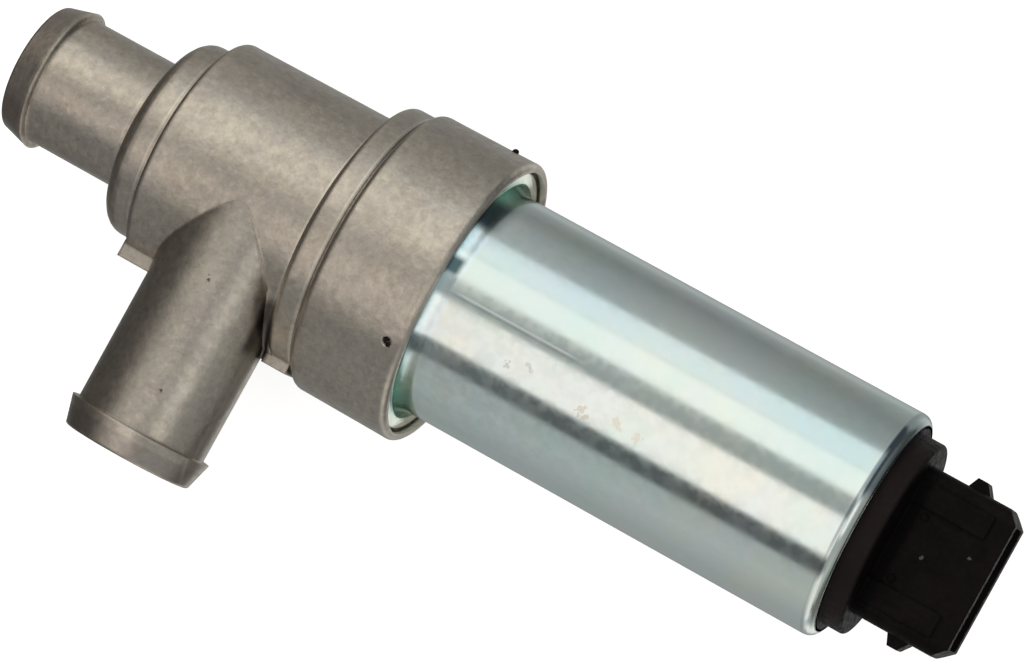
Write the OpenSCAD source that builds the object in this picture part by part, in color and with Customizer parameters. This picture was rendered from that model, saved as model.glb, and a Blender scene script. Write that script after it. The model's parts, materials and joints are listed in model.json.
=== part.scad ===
// Idle air control valve: a cast air valve with two hose nozzles, closed by a spring and
// opened by a linear solenoid in a plated can, with a two-blade plug header.
// The main axis is X and points to the plug header. The origin is on that axis,
// in the middle of the can's clamp seat. The side nozzle points to -Y.

/* [Hose nozzles] */
// Outer diameter of both hose nozzles
nozzle_d = 20; // [17:0.5:24]
// Wall of both hose nozzles
nozzle_wall = 2; // [1.5:0.1:3]
// How far the lip that keeps a hose on stands over the nozzle
lip_stand = 1; // [0.4:0.05:2]
// How far the lip's edge at the mouth stays under the nozzle's surface
mouth_drop = 0.05; // [0.05:0.05:0.8]
// Rounding of the mouth's edge
mouth_round = 0.5; // [0.2:0.1:0.8]
// Length of the lip
lip_len = 4.3; // [3:0.1:6]
// Length of the nozzle on the main axis, from the neck's face to its mouth
nozzle_len = 20.9; // [16:0.1:32]
// Distance from the main axis to the side nozzle's mouth
side_reach = 42.3; // [38:0.5:60]
// How far the side nozzle's top stays under the chamber's top
side_sink = 0.1; // [0:0.05:1]
// Distance between the side nozzle and the step
side_clear = 0.6; // [0.3:0.1:2]

/* [Cast housing] */
// Diameter of the neck behind the nozzle
neck_d = 30.7; // [29:0.1:32]
// Length of the neck
neck_len = 5.8; // [5:0.1:9]
// Rounding of the neck's outer edge
neck_round = 2.5; // [1:0.1:2.6]
// Diameter of the air chamber outside
chamber_d = 35.6; // [35:0.1:39]
// Length of the air chamber outside
chamber_len = 26.3; // [24:0.1:34]
// Wall of the air chamber
chamber_wall = 3.2; // [2.5:0.1:4]
// How far the ledges at the parting line stand over the chamber and the step
ledge_stand = 0.1; // [0.1:0.1:0.5]
// How much wider each cast drum gets towards the collar's open end
cast_draft = 0.3; // [0:0.05:0.5]
// Rounding of the chamber's outer edge
chamber_round = 0.9; // [0.3:0.1:1.2]
// How far the step beside the chamber stays under the collar's surface
step_drop = 1.2; // [0.6:0.1:2]
// Length of the step
step_len = 4.4; // [3:0.1:6]
// Rounding of the step's outer edge
step_round = 1; // [0.2:0.1:1.2]
// Width of the groove between the step and the collar
groove_w = 0.4; // [0.3:0.1:1]
// Depth of that groove
groove_depth = 0.2; // [0.2:0.1:0.8]
// Diameter of the collar at its open end
collar_d = 44.6; // [44:0.1:47]
// Length of the collar
collar_len = 16.1; // [15.5:0.1:22]
// Rounding of the collar's edge at the step
collar_round = 1; // [0.2:0.1:1.2]
// Rounding of the collar's edge at its open end
rim_round = 0.8; // [0.2:0.1:1]
// Distance from the main axis at which the side nozzle's bore ends in the chamber
side_bore_stop = 5; // [3:0.5:8]
// Wall of the collar round the pole plate
collar_wall = 1.2; // [1:0.1:1.6]
// Width of the ledge in the collar that the pole plate rests on
plate_ledge = 3.6; // [2.5:0.1:4.5]
// Height of the collar's rim over the can's flange
rim_stand = 1.1; // [0.5:0.1:2]

/* [Stakes] */
// Number of stakes that lock the pole plate in the collar
stake_count = 3; // [3:1:6]
// Angle of the first stake round the main axis, from +Z towards the side nozzle
stake_angle = 26.4; // [0:0.1:120]
// Width of the punch mark in the collar
stake_w = 1.4; // [1:0.1:2]
// Depth of the punch mark
stake_depth = 0.7; // [0.4:0.1:0.9]
// How far each stake stands in over the pole plate's chamfer
stake_bite = 0.5; // [0.3:0.1:0.7]

/* [Solenoid can] */
// Outer diameter of the can
can_d = 35; // [34:0.1:36]
// Wall of the can
can_wall = 1; // [0.8:0.1:1.2]
// Length of the can from its flange's face to its rolled end
can_len = 67.7; // [66:0.1:90]
// Distance from the middle of the clamp seat to the flange's face
seat_to_flange = 35; // [34:0.5:38]
// Room between the can's flange and the collar's bore
flange_room = 0.5; // [0.3:0.1:1]
// Thickness of the can's flange
flange_t = 1.2; // [0.8:0.1:1.6]
// Radius of the bend between the flange and the wall
flange_bend = 2; // [0.5:0.1:2.4]
// Rounding of the can's rolled end
roll_round = 1.6; // [1:0.1:2]
// How far the rolled end stands in over the cap's shoulder
roll_lip = 0.2; // [0.1:0.05:0.4]

/* [Valve] */
// Outer diameter of the seat ring pressed into the housing
seat_d = 21; // [19.5:0.5:23]
// Bore of the seat ring
seat_bore_d = 14; // [12:0.5:16]
// Length of the seat ring
seat_len = 5; // [4:0.5:5.5]
// How far the seat ring stands into the chamber
seat_stand = 0.8; // [0.4:0.1:1.5]
// Width of the raised land that the valve closes on
seat_land = 1.2; // [0.8:0.1:1.6]
// How far the valve head reaches over the seat, measured from its bore
head_overlap = 2.3; // [1.6:0.1:3]
// Thickness of the valve head's disc
head_t = 3; // [2:0.5:4]
// Length of the valve head's nose inside the seat
nose_len = 3; // [2:0.5:4]
// Radial room between the valve head's nose and the seat's bore
nose_gap = 0.4; // [0.2:0.1:1]
// Travel of the valve from closed to open
stroke = 5; // [3:0.5:6]
// Diameter of the valve rod
rod_d = 4; // [3:0.5:5]
// Diameter of the rod's thin end that carries the valve head
rod_end_d = 3; // [2:0.5:3.2]
// Length of the rod's thin end past the valve head's nose
rod_end_stand = 1.8; // [1.4:0.1:3]
// Width of the retaining clip's ring
clip_w = 2.1; // [1.5:0.1:2.5]
// Thickness of the retaining clip
clip_t = 0.5; // [0.4:0.1:0.8]
// Depth of the clip's groove in the rod
clip_groove = 0.4; // [0.2:0.1:0.5]

/* [Pole plate and bushes] */
// Thickness of the pole plate's flange
plate_t = 4.5; // [4:0.1:6]
// Length of the pole plate's spigot in the housing
spigot_len = 5; // [4.5:0.5:7]
// Wall of the pole plate's boss round the front bush
boss_wall = 3; // [2:0.5:4]
// Length of that boss
boss_len = 8; // [6:0.5:9]
// Diameter of the pole plate's hub inside the can
hub_d = 23; // [20:0.5:30]
// Length of that hub
hub_len = 4; // [3:0.5:6]
// Chamfer of the pole plate's front edge, which the stakes close over
plate_chamfer = 1.2; // [1:0.1:1.6]
// Outer diameter of both bushes
bush_d = 7; // [6:0.5:7.4]
// Length of the front bush
front_bush_len = 7.5; // [5:0.5:9]
// Length of the rear bush
rear_bush_len = 6.5; // [5:0.5:8]
// Radial room round the rod in the pole plate and in the pole core
rod_room = 0.5; // [0.3:0.1:1]
// Wire thickness of the two sealing rings
seal_t = 1.5; // [1.2:0.1:2]

/* [Armature and pole core] */
// Outer diameter of the guide tube
tube_d = 14.8; // [13:0.2:16]
// Wall of the guide tube
tube_wall = 0.4; // [0.3:0.1:0.8]
// Depth of the guide tube in the pole plate
tube_depth = 12; // [10:0.5:12.5]
// Free space in front of the armature when the valve is closed
armature_space = 2; // [1:0.5:3]
// Length of the armature
armature_len = 37.5; // [32:0.5:42]
// Width of the two flats that let air past the armature
vent_flat = 0.7; // [0.3:0.1:1]
// Thickness of the stop washer on the pole core
stop_t = 0.5; // [0.3:0.1:1]
// Air left between the armature and the stop washer at full travel
stop_gap = 0.2; // [0.1:0.1:0.5]
// Length of the pole core inside the guide tube
core_spigot_len = 9.5; // [8:0.5:12]
// How far the pole core's rear head stands over its body
core_head_rim = 1.6; // [1:0.1:2.5]
// Thickness of that head
core_head_t = 1.5; // [1:0.1:1.7]

/* [Spring and adjuster] */
// Bore of the pole core that the spring and the adjusting screw sit in
spring_bore_d = 8.4; // [8:0.1:9]
// Radial room round the return spring
spring_room = 0.6; // [0.4:0.1:0.9]
// Wire thickness of the return spring
wire_d = 0.7; // [0.5:0.1:0.8]
// Number of turns of the return spring
spring_turns = 5; // [4:1:6]
// Length of the return spring when the valve is closed
spring_len = 9.6; // [9:0.1:12]
// Thickness of the spring seat's flange
spring_seat_t = 1.2; // [0.8:0.1:2]
// Radial room between the spring and the pegs that centre it
peg_room = 0.4; // [0.2:0.1:0.8]
// Length of the peg on the spring seat
seat_peg_len = 2; // [1:0.1:2.5]
// Length of the peg on the adjusting screw
screw_peg_len = 1.2; // [0.5:0.1:1.5]
// Length of the adjusting screw's thread
screw_len = 5; // [4:0.5:6]
// Width of the adjusting screw's slot
slot_w = 1.2; // [0.8:0.1:1.6]
// Depth of the adjusting screw's slot
slot_depth = 1.6; // [1:0.1:2]

/* [Coil] */
// Radial room between the bobbin and the can
bobbin_room = 0.3; // [0.2:0.1:1]
// Wall of the bobbin's tube
bobbin_wall = 1; // [0.8:0.1:1.5]
// Thickness of the bobbin's end flanges
bobbin_flange_t = 1.6; // [1.2:0.1:2.5]
// How far the winding stays under the edge of the bobbin's flanges
winding_drop = 1.3; // [0.5:0.1:3]
// Height of the wave washer that holds the bobbin tight
wave_h = 1.4; // [1:0.1:2]
// Thickness of the wave washer's sheet
wave_t = 0.4; // [0.3:0.05:0.6]
// Width of the wave washer's ring
wave_w = 2.4; // [1.5:0.1:3]
// Number of waves
wave_count = 3; // [3:1:5]
// Thickness of the flux washer at the rear of the coil
flux_t = 3; // [2:0.5:4]

/* [Connector cap] */
// Diameter of the cap's disc outside the can
disc_d = 29.9; // [29:0.1:31]
// How far the disc stands out of the can
disc_stand = 3.35; // [2:0.05:6]
// Rounding of the disc's edge
disc_round = 0.5; // [0.2:0.1:1]
// Width of the plug header
header_w = 23.2; // [21:0.1:25]
// Height of the plug header
header_h = 11; // [10:0.5:15]
// Length of the plug header
header_len = 14.4; // [13.5:0.1:18]
// Rounding of the plug header's long edges
header_round = 2.3; // [1:0.1:3]
// Chamfer of the mouth's narrow sides
mouth_chamfer = 1.9; // [0.5:0.1:3]
// Wall of the plug header
header_wall = 2; // [1.6:0.1:2.8]
// Depth of the plug socket
socket_depth = 11; // [10:0.5:13]
// Height of the two latch lugs over the narrow sides
lug_stand = 1.6; // [1:0.1:2]
// Width of the latch lugs across the narrow sides
lug_w = 5; // [3:0.5:7]
// Length of the latch lugs at their foot
lug_foot = 3.4; // [2.5:0.1:5]
// Length of the latch lugs at their top
lug_top = 1.5; // [1:0.1:2]
// Distance from the disc to the latch lugs
lug_from_disc = 5.6; // [4:0.1:7]
// Width of the two key ribs on the broad side
key_w = 3.5; // [2:0.1:4]
// Height of the key ribs
key_h = 0.6; // [0.3:0.1:1]
// Distance from the header's middle to each key rib
key_offset = 7.7; // [5:0.1:8]
// Length of the key ribs
key_len = 11.5; // [8:0.1:12]
// Diameter of the two dimples beside the key ribs
dimple_d = 1.2; // [0.8:0.1:1.6]
// Distance from the disc to the dimples
dimple_from_disc = 2.8; // [1.5:0.1:5]

/* [Terminals] */
// Width of the terminal blades
blade_w = 2.8; // [2:0.1:3.5]
// Thickness of the terminal blades
blade_t = 0.8; // [0.5:0.1:1]
// Distance between the two blades
blade_pitch = 5; // [4:0.5:6]
// How far the blades stay behind the socket's mouth
blade_recess = 3; // [2:0.5:5]
// Room between the blades' tails and the pole core's head
tail_room = 1.1; // [0.5:0.1:1.5]

/* [Hidden] */

// Facets of a full circle in the preview, and steps of a rounded edge
round_fn = 96;
small_fn = 48;
round_steps = 6;

// How far a cut runs past the face that it opens
overrun = 1;
// Radial gap of pieces that are pressed, moulded or glued together
fixed_gap = 0.02;
// Radial gap of pieces that slide
running_gap = 0.06;
// Gap between the closed valve head and its seat
closed_gap = 0.05;

// Places along the main axis, from the can's flange towards the nozzle
flange_x = -seat_to_flange;
plate_x = flange_x - flange_t;
rim_x = flange_x + rim_stand;
collar_x = rim_x - collar_len;
step_x = collar_x - step_len;
chamber_x = step_x - chamber_len;
neck_x = chamber_x - neck_len;
mouth_x = neck_x - nozzle_len;
recess_x = plate_x - plate_t;
spigot_x = recess_x - spigot_len;
boss_x = spigot_x - boss_len;
bush_back_x = boss_x + front_bush_len;
tube_x = plate_x + hub_len - tube_depth;
cavity_x = chamber_x + chamber_wall;
seat_face_x = cavity_x + seat_stand;
seat_x = seat_face_x - seat_len;
side_x = step_x - nozzle_d / 2 - side_clear;
stake_x = plate_x - stake_w / 4;

// Places of the moving pieces with the valve closed
head_x = seat_face_x + closed_gap;
head_back_x = head_x + head_t;
nose_x = head_x - nose_len;
clip_x = nose_x - fixed_gap - clip_t;
rod_x = nose_x - rod_end_stand;
armature_x = tube_x + armature_space;
armature_back_x = armature_x + armature_len;

// Places from the pole core towards the plug header
stop_x = armature_back_x + stroke + stop_gap;
core_x = stop_x + stop_t;
core_body_x = core_x + core_spigot_len;
rear_bush_x = core_x + 2 * stop_t;
rear_bush_back_x = rear_bush_x + rear_bush_len;
spring_seat_x = rear_bush_back_x + stop_t;
spring_x = spring_seat_x + spring_seat_t;
screw_x = spring_x + spring_len;
screw_back_x = screw_x + screw_len;
core_head_x = screw_back_x - core_head_t;
flux_x = core_head_x - flux_t;
hub_x = plate_x + hub_len;
bobbin_x = hub_x + wave_h;
can_end_x = flange_x + can_len;
shoulder_x = can_end_x - can_wall;
disc_x = can_end_x + disc_stand;
header_x = disc_x + header_len;
socket_x = header_x - socket_depth;
blade_x = header_x - blade_recess;
cap_rim_x = core_head_x;
cap_floor_x = screw_back_x + stop_t;

// Radii that several pieces share
nozzle_r = nozzle_d / 2;
nozzle_bore_r = nozzle_r - nozzle_wall;
chamber_r = chamber_d / 2;
chamber_bore_r = chamber_r - chamber_wall;
step_r = collar_d / 2 - step_drop;
recess_r = collar_d / 2 - collar_wall;
flange_r = recess_r - flange_room;
can_bore_r = can_d / 2 - can_wall;
tube_bore_r = tube_d / 2 - tube_wall;
spigot_r = recess_r - plate_ledge;
plug_r = can_bore_r - fixed_gap;
lip_bore_r = can_bore_r - roll_lip;
disc_r = disc_d / 2;
rod_r = rod_d / 2;
bush_r = bush_d / 2;
core_r = tube_d / 2;
core_head_r = core_r + core_head_rim;
spring_bore_r = spring_bore_d / 2;
spring_r = spring_bore_r - spring_room;
peg_r = spring_r - wire_d - peg_room;
bobbin_r = can_bore_r - bobbin_room;
winding_r = bobbin_r - winding_drop;
seal_groove_w = seal_t * 1.25;
side_lift = chamber_r - side_sink - nozzle_r;
tail_lift = core_head_r + tail_room + blade_w / 2;

// A step of a rounded edge: points of an arc round [r, x], from one angle to another
function arc(r, x, radius, from, to) = [
    for (i = [0 : round_steps])
        [r + radius * cos(from + (to - from) * i / round_steps),
         x + radius * sin(from + (to - from) * i / round_steps)]
];

// A solid turned about the main axis, from an outline of [radius, place along X]
module turned(outline) {
    rotate([0, 90, 0])
        rotate_extrude($fn = round_fn)
            polygon(outline);
}

// A straight round bar along the main axis
module bar(radius, from, to) {
    translate([from, 0, 0])
        rotate([0, 90, 0])
            cylinder(r = radius, h = to - from, $fn = round_fn);
}

// A ring along the main axis
module ring(outer, inner, from, to) {
    difference() {
        bar(outer, from, to);
        bar(inner, from - overrun, to + overrun);
    }
}

// A sealing ring whose outer edge touches the bore around it
module seal_ring(bore_r, middle_x) {
    turn_r = bore_r - fixed_gap - seal_t / 2;
    translate([middle_x, 0, 0])
        rotate([0, 90, 0])
            rotate_extrude($fn = round_fn)
                translate([turn_r, 0])
                    circle(d = seal_t, $fn = small_fn);
}

// Outline of a rectangle with round corners
module round_rect(width, height, radius) {
    square([width - 2 * radius, height], center = true);
    square([width, height - 2 * radius], center = true);
    for (sx = [-1, 1], sy = [-1, 1])
        translate([sx * (width / 2 - radius), sy * (height / 2 - radius)])
            circle(r = radius, $fn = small_fn);
}

// A bar along +X with the section drawn by its child, which is seen as [Y, Z]
module along_x(from, to) {
    translate([from, 0, 0])
        rotate([90, 0, 90])
            linear_extrude(height = to - from)
                children();
}

// Nozzle outline from the mouth at place 0 to a foot at place reach
function nozzle_outline(reach) = concat(
    [[0, 0]],
    arc(nozzle_r - mouth_drop - mouth_round, mouth_round, mouth_round, -90, 0),
    [[nozzle_r + lip_stand, lip_len],
     [nozzle_r, lip_len],
     [nozzle_r, reach],
     [0, reach]]
);

// Outline of the neck, chamber, step and collar, without their bores
function drum_outline() = concat(
    [[0, neck_x]],
    arc(neck_d / 2 - neck_round, neck_x + neck_round, neck_round, -90, 0),
    [[neck_d / 2, chamber_x]],
    arc(chamber_r - chamber_round, chamber_x + chamber_round, chamber_round, -90, 0),
    [[chamber_r + cast_draft / 2, step_x]],
    arc(step_r - step_round, step_x + step_round, step_round, -90, 0),
    [[step_r, collar_x - groove_w],
     [step_r - groove_depth, collar_x - groove_w],
     [step_r - groove_depth, collar_x]],
    arc((collar_d - cast_draft) / 2 - collar_round, collar_x + collar_round, collar_round, -90, 0),
    arc(collar_d / 2 - rim_round, rim_x - rim_round, rim_round, 0, 90),
    [[0, rim_x]]
);

// A cast ledge on the side nozzle's side, from the parting plane down to the middle
module parting_ledge(radius, from, to) {
    translate([from, -radius - ledge_stand, 0])
        cube([to - from, radius + ledge_stand, side_lift]);
}

// One child for each stake, turned to its place on the collar
module at_stakes() {
    for (i = [0 : stake_count - 1])
        rotate([stake_angle + i * 360 / stake_count, 0, 0])
            translate([stake_x, 0, 0])
                children();
}

module valve_housing() {
    color("darkgray")
    difference() {
        union() {
            turned(drum_outline());
            translate([mouth_x, 0, 0])
                turned(nozzle_outline(nozzle_len + neck_round));
            translate([side_x, -side_reach, side_lift])
                rotate([0, 0, 90])
                    turned(nozzle_outline(side_reach));
            parting_ledge(chamber_r + cast_draft / 2, chamber_x, step_x);
            parting_ledge(step_r, step_x, collar_x - groove_w);
        }
        bar(nozzle_bore_r, mouth_x - overrun, cavity_x + overrun);
        bar(seat_d / 2 + fixed_gap, seat_x, cavity_x + overrun);
        bar(chamber_bore_r, cavity_x, recess_x);
        bar(spigot_r + fixed_gap, spigot_x - closed_gap, recess_x + overrun);
        difference() {
            bar(recess_r, recess_x, rim_x + overrun);
            at_stakes()
                translate([0, 0, recess_r - stake_bite])
                    cylinder(d1 = stake_w / 2, d2 = stake_w, h = stake_bite + overrun, $fn = small_fn);
        }
        translate([side_x, -side_reach - overrun, side_lift])
            rotate([-90, 0, 0])
                cylinder(r = nozzle_bore_r, h = side_reach + overrun - side_bore_stop, $fn = round_fn);
        at_stakes()
            translate([0, 0, collar_d / 2 - stake_depth])
                cylinder(d1 = stake_w / 2, d2 = stake_w, h = stake_depth, $fn = small_fn);
    }
}

// The seat ring has a raised land round its bore, which the valve head closes on
module valve_seat() {
    land_r = seat_bore_d / 2 + seat_land;
    color("goldenrod")
    difference() {
        union() {
            bar(seat_d / 2, seat_x, seat_face_x - seat_stand / 2);
            bar(land_r, seat_x, seat_face_x);
        }
        bar(seat_bore_d / 2, seat_x - overrun, seat_face_x + overrun);
    }
}

module valve_head() {
    nose_r = seat_bore_d / 2 - nose_gap;
    head_r = seat_bore_d / 2 + head_overlap;
    hub_r = rod_d;
    color("silver")
    difference() {
        turned([
            [0, nose_x],
            [hub_r, nose_x],
            [nose_r, head_x],
            [head_r, head_x],
            [head_r, head_x + head_t / 2],
            [hub_r, head_back_x],
            [0, head_back_x]
        ]);
        bar(rod_end_d / 2 + fixed_gap, nose_x - overrun, head_back_x + overrun);
    }
}

module retaining_clip() {
    groove_r = rod_end_d / 2 - clip_groove;
    clip_r = groove_r + clip_w;
    color("dimgray")
    difference() {
        ring(clip_r, groove_r + fixed_gap, clip_x, clip_x + clip_t);
        translate([clip_x - overrun, -groove_r - fixed_gap, -clip_r])
            cube([clip_t + 2 * overrun, 2 * (groove_r + fixed_gap), clip_r]);
    }
}

module valve_rod() {
    end_r = rod_end_d / 2;
    groove_r = end_r - clip_groove;
    color("silver")
    turned([
        [0, rod_x],
        [end_r - clip_groove / 2, rod_x],
        [end_r, rod_x + clip_groove],
        [end_r, clip_x - fixed_gap],
        [groove_r, clip_x - fixed_gap],
        [groove_r, nose_x],
        [end_r, nose_x],
        [end_r, head_back_x],
        [rod_r, head_back_x],
        [rod_r, spring_seat_x],
        [end_r, spring_seat_x],
        [end_r, spring_x + seat_peg_len / 2],
        [0, spring_x + seat_peg_len / 2]
    ]);
}

module front_bush() {
    color("peru")
        ring(bush_r, rod_r + running_gap, boss_x, bush_back_x);
}

module rear_bush() {
    color("peru")
        ring(bush_r, rod_r + running_gap, rear_bush_x, rear_bush_back_x);
}

// The pole plate closes the air chamber, holds the front bush and leads the magnetic field
module pole_plate() {
    rim_r = recess_r - fixed_gap;
    boss_r = bush_r + boss_wall;
    root_r = spigot_r - seal_t - fixed_gap;
    seal_x = spigot_x + spigot_len / 2;
    color("lightsteelblue")
    difference() {
        turned([
            [0, boss_x],
            [boss_r, boss_x],
            [boss_r, spigot_x],
            [spigot_r, spigot_x],
            [spigot_r, seal_x - seal_groove_w / 2],
            [root_r, seal_x - seal_groove_w / 2],
            [root_r, seal_x + seal_groove_w / 2],
            [spigot_r, seal_x + seal_groove_w / 2],
            [spigot_r, recess_x],
            [rim_r, recess_x],
            [rim_r, plate_x - plate_chamfer],
            [rim_r - plate_chamfer, plate_x],
            [hub_d / 2, plate_x],
            [hub_d / 2, hub_x],
            [0, hub_x]
        ]);
        bar(bush_r + fixed_gap, boss_x - overrun, bush_back_x);
        bar(rod_r + rod_room, bush_back_x - overrun, tube_x + overrun);
        bar(tube_d / 2 + fixed_gap, tube_x, hub_x + overrun);
    }
}

module housing_seal() {
    color("black")
        seal_ring(spigot_r + fixed_gap, spigot_x + spigot_len / 2);
}

// The can is drawn from sheet: flange, bend, straight wall and a rolled end
module solenoid_can() {
    bend_r = can_d / 2 + flange_bend;
    color("lightblue")
    turned(concat(
        arc(bend_r, plate_x + bend_r - can_bore_r, bend_r - can_bore_r, 180, 270),
        [[flange_r, plate_x],
         [flange_r, flange_x]],
        arc(bend_r, flange_x + flange_bend, flange_bend, 270, 180),
        arc(can_d / 2 - roll_round, can_end_x - roll_round, roll_round, 0, 90),
        [[lip_bore_r, can_end_x],
         [lip_bore_r, shoulder_x],
         [can_bore_r, shoulder_x]]
    ));
}

module guide_tube() {
    color("gold")
        ring(tube_d / 2, tube_bore_r, tube_x, core_body_x);
}

// The armature has two flats, so that air passes it in the guide tube
module armature() {
    armature_r = tube_bore_r - running_gap;
    color("gray")
    difference() {
        ring(armature_r, rod_r + fixed_gap, armature_x, armature_back_x);
        for (side = [-1, 1])
            translate([armature_x + armature_len / 2, side * armature_r, 0])
                cube([armature_len + 2 * overrun, 2 * vent_flat, 2 * armature_r], center = true);
    }
}

module stop_washer() {
    color("gold")
        ring(tube_bore_r - fixed_gap, bush_r, stop_x, core_x);
}

// The pole core draws the armature in, and holds the rear bush, spring and screw
module pole_core() {
    color("slategray")
    difference() {
        turned([
            [0, core_x],
            [tube_bore_r - fixed_gap, core_x],
            [tube_bore_r - fixed_gap, core_body_x],
            [core_r, core_body_x],
            [core_r, core_head_x],
            [core_head_r, core_head_x],
            [core_head_r, screw_back_x],
            [0, screw_back_x]
        ]);
        bar(rod_r + rod_room, core_x - overrun, rear_bush_x + overrun);
        bar(bush_r + fixed_gap, rear_bush_x, rear_bush_back_x + overrun);
        bar(spring_bore_r, rear_bush_back_x, screw_back_x + overrun);
    }
}

module spring_seat() {
    color("silver")
    difference() {
        union() {
            bar(spring_r, spring_seat_x, spring_x);
            bar(peg_r, spring_seat_x, spring_x + seat_peg_len);
        }
        bar(rod_end_d / 2 + fixed_gap, spring_seat_x - overrun, spring_x + seat_peg_len / 2 + fixed_gap);
    }
}

// Points of the return spring's wire, ring by ring along its helix
module return_spring() {
    wire_sides = 8;
    turn_steps = 20;
    coil_r = spring_r - wire_d / 2;
    rings = spring_turns * turn_steps;
    rise = spring_len - wire_d - 2 * closed_gap;
    points = [
        for (i = [0 : rings], k = [0 : wire_sides - 1])
            let (turn = 360 * i / turn_steps,
                 side = 360 * k / wire_sides,
                 reach = coil_r + wire_d / 2 * cos(side))
                [spring_x + closed_gap + wire_d / 2 + rise * i / rings + wire_d / 2 * sin(side),
                 reach * cos(turn),
                 reach * sin(turn)]
    ];
    start = [for (k = [0 : wire_sides - 1]) k];
    end = [for (k = [wire_sides - 1 : -1 : 0]) rings * wire_sides + k];
    sides = [
        for (i = [0 : rings - 1], k = [0 : wire_sides - 1])
            let (next = (k + 1) % wire_sides)
                [i * wire_sides + k, (i + 1) * wire_sides + k,
                 (i + 1) * wire_sides + next, i * wire_sides + next]
    ];
    color("silver")
        polyhedron(points, concat([start], sides, [end]));
}

module adjusting_screw() {
    screw_r = spring_bore_r - fixed_gap;
    color("goldenrod")
    difference() {
        union() {
            bar(screw_r, screw_x, screw_back_x);
            bar(peg_r, screw_x - screw_peg_len, screw_x + overrun);
        }
        translate([screw_back_x - slot_depth, -spring_bore_d, -slot_w / 2])
            cube([slot_depth + overrun, 2 * spring_bore_d, slot_w]);
    }
}

// The wave washer: a thin ring whose height goes up and down round the axis
module wave_washer() {
    steps = 72;
    outer = hub_d / 2;
    inner = outer - wave_w;
    half_rise = (wave_h - wave_t) / 2 - fixed_gap;
    corners = [[inner, -wave_t / 2], [outer, -wave_t / 2], [outer, wave_t / 2], [inner, wave_t / 2]];
    points = [
        for (i = [0 : steps - 1], c = corners)
            let (turn = 360 * i / steps)
                [hub_x + wave_h / 2 + half_rise * cos(wave_count * turn) + c[1],
                 c[0] * cos(turn),
                 c[0] * sin(turn)]
    ];
    faces = [
        for (i = [0 : steps - 1], k = [0 : len(corners) - 1])
            let (here = i * len(corners),
                 after = ((i + 1) % steps) * len(corners),
                 next = (k + 1) % len(corners))
                each [[here + k, after + k, after + next],
                      [here + k, after + next, here + next]]
    ];
    color("silver")
        polyhedron(points, faces);
}

module coil_bobbin() {
    tube_r = tube_d / 2 + closed_gap;
    color("ivory")
    difference() {
        union() {
            bar(tube_r + bobbin_wall, bobbin_x, flux_x);
            bar(bobbin_r, bobbin_x, bobbin_x + bobbin_flange_t);
            bar(bobbin_r, flux_x - bobbin_flange_t, flux_x);
        }
        bar(tube_r, bobbin_x - overrun, flux_x + overrun);
    }
}

module coil_winding() {
    inner = tube_d / 2 + closed_gap + bobbin_wall + fixed_gap;
    color("chocolate")
        ring(winding_r, inner,
             bobbin_x + bobbin_flange_t + fixed_gap,
             flux_x - bobbin_flange_t - fixed_gap);
}

// The flux washer joins the pole core to the can, with two slots for the terminals
module flux_washer() {
    slot_gap = blade_t / 2;
    color("lightsteelblue")
    difference() {
        ring(can_bore_r - fixed_gap, core_r + fixed_gap, flux_x, core_head_x);
        for (side = [-1, 1])
            translate([
                flux_x - overrun,
                side * blade_pitch / 2 - blade_t / 2 - slot_gap,
                tail_lift - blade_w / 2 - slot_gap
            ])
                cube([flux_t + 2 * overrun, blade_t + 2 * slot_gap, blade_w + 2 * slot_gap]);
    }
}

// A terminal's outline seen from the side, as [X, Z], grown by a gap all round
module terminal_outline(gap) {
    low = -blade_w / 2 - gap;
    high = blade_w / 2 + gap;
    tip = blade_w / 4;
    bend_x = disc_x - header_wall;
    polygon([
        [flux_x + fixed_gap, tail_lift + low],
        [bend_x - blade_w - gap, tail_lift + low],
        [bend_x - blade_w - gap, low],
        [blade_x - tip, low],
        [blade_x, low + tip],
        [blade_x, high - tip],
        [blade_x - tip, high],
        [bend_x + gap, high],
        [bend_x + gap, tail_lift + high],
        [flux_x + fixed_gap, tail_lift + high]
    ]);
}

// A terminal or the space for it, on the side that is named by -1 or 1
module terminal(side, gap) {
    half = blade_t / 2 + gap;
    translate([0, side * blade_pitch / 2 + half, 0])
        rotate([90, 0, 0])
            linear_extrude(height = 2 * half)
                terminal_outline(gap);
}

module terminal_left() {
    color("gainsboro")
        terminal(-1, 0);
}

module terminal_right() {
    color("gainsboro")
        terminal(1, 0);
}

// The plug header's outside: a rounded bar whose mouth is chamfered on its narrow sides
module header_body() {
    half = header_w / 2;
    intersection() {
        along_x(disc_x - overrun, header_x)
            round_rect(header_w, header_h, header_round);
        translate([0, 0, -header_h])
            linear_extrude(height = 2 * header_h)
                polygon([
                    [disc_x - overrun, -half],
                    [header_x - mouth_chamfer, -half],
                    [header_x, mouth_chamfer - half],
                    [header_x, half - mouth_chamfer],
                    [header_x - mouth_chamfer, half],
                    [disc_x - overrun, half]
                ]);
    }
}

// A latch lug on one narrow side, with a steep back and a ramp towards the mouth
module latch_lug(side) {
    foot = header_w / 2 - overrun;
    top = header_w / 2 + lug_stand;
    start = disc_x + lug_from_disc;
    ramp = (lug_foot - lug_top) / 2;
    translate([0, 0, -lug_w / 2])
        linear_extrude(height = lug_w)
            polygon([
                [start, side * foot],
                [start, side * header_w / 2],
                [start + ramp * lug_top / 2, side * top],
                [start + ramp * lug_top / 2 + lug_top, side * top],
                [start + lug_foot, side * header_w / 2],
                [start + lug_foot, side * foot]
            ]);
}

// A key rib on the broad side
module key_rib(side) {
    translate([disc_x, side * key_offset - key_w / 2, header_h / 2 - overrun])
        cube([key_len, key_w, key_h + overrun]);
}

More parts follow.
